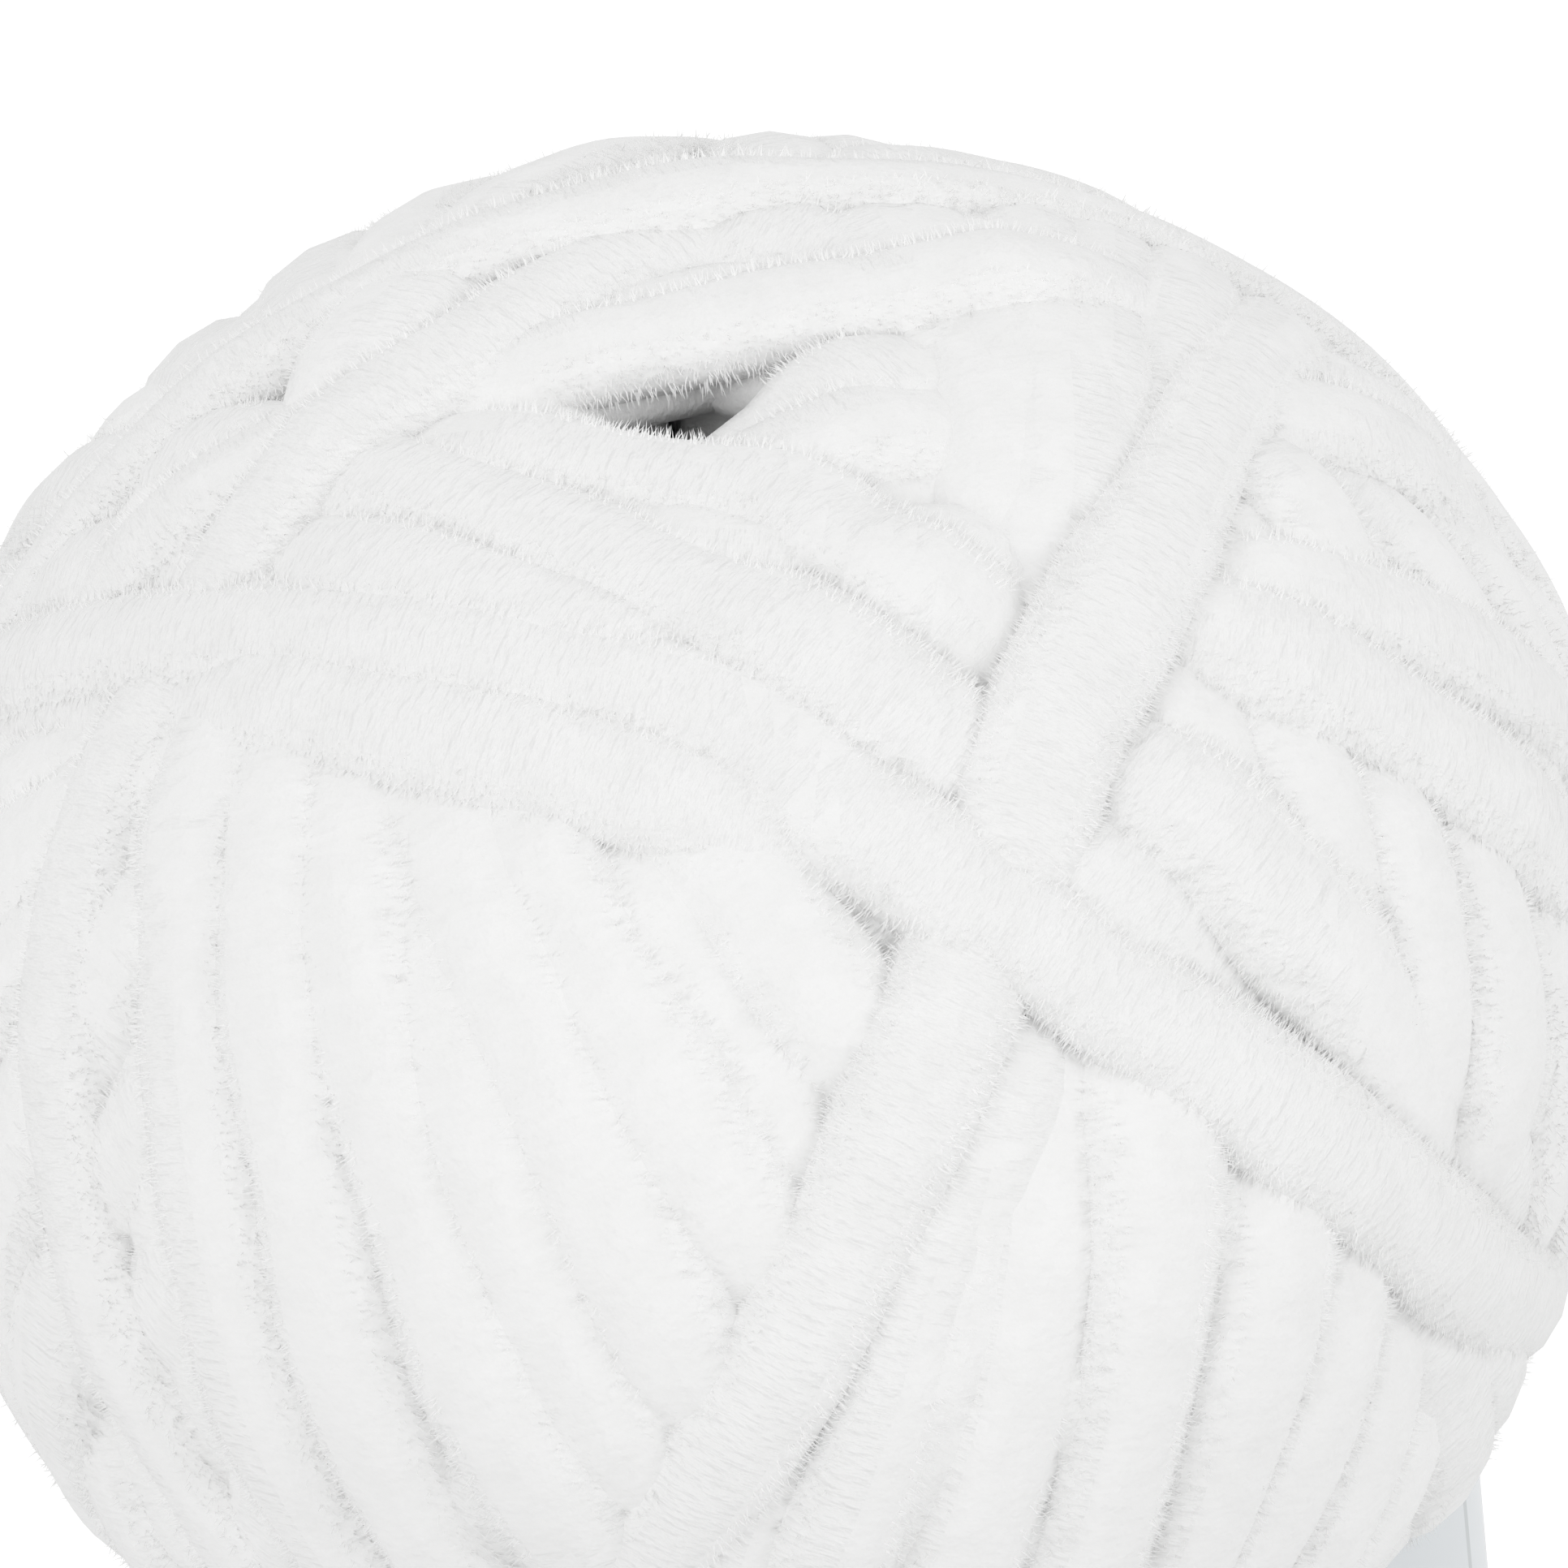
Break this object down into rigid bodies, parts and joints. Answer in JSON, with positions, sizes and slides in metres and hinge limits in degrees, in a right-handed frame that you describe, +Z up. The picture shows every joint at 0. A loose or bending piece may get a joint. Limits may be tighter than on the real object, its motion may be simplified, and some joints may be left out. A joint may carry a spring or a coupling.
{
  "type": "centre-pull yarn ball",
  "caption": "Tall two-bulged ball of thick white velvet chenille yarn, machine-wound round an open pull hole, with a paper label band round its waist.",
  "frame": {"origin": "centre of the ring of yarn that the ball stands on, on the ball's axis", "axes": "+Z up the ball's axis, along the pull hole; the front is -Y, and the band's lap is at the front right"},
  "size_m": [0.098, 0.098, 0.184],
  "materials": {
    "yarn": "soft velvet pile",
    "core_thread": "twisted polyester thread",
    "label_paper": "glossy coated paper",
    "glue": "dried clear hot-melt glue"
  },
  "bodies": {
    "ball": {"inner_winding": "yarn", "middle_winding": "yarn", "outer_winding": "yarn", "outer_end": "yarn", "outer_end_core": "core_thread"},
    "band": {"label_band": "label_paper", "label_glue": "glue"},
    "inner_end": {"pull_end": "yarn", "pull_end_core": "core_thread"}
  },
  "joints": [
    {"name": "band_turn", "type": "hinge", "parent": "ball", "child": "band", "pos_m": [0, 0, 0.092], "axis": [0, 0, 1], "continuous": true},
    {"name": "pull_out", "type": "slide", "parent": "ball", "child": "inner_end", "axis": [0, 0, 1], "range_m": [0, 0.065]}
  ]
}
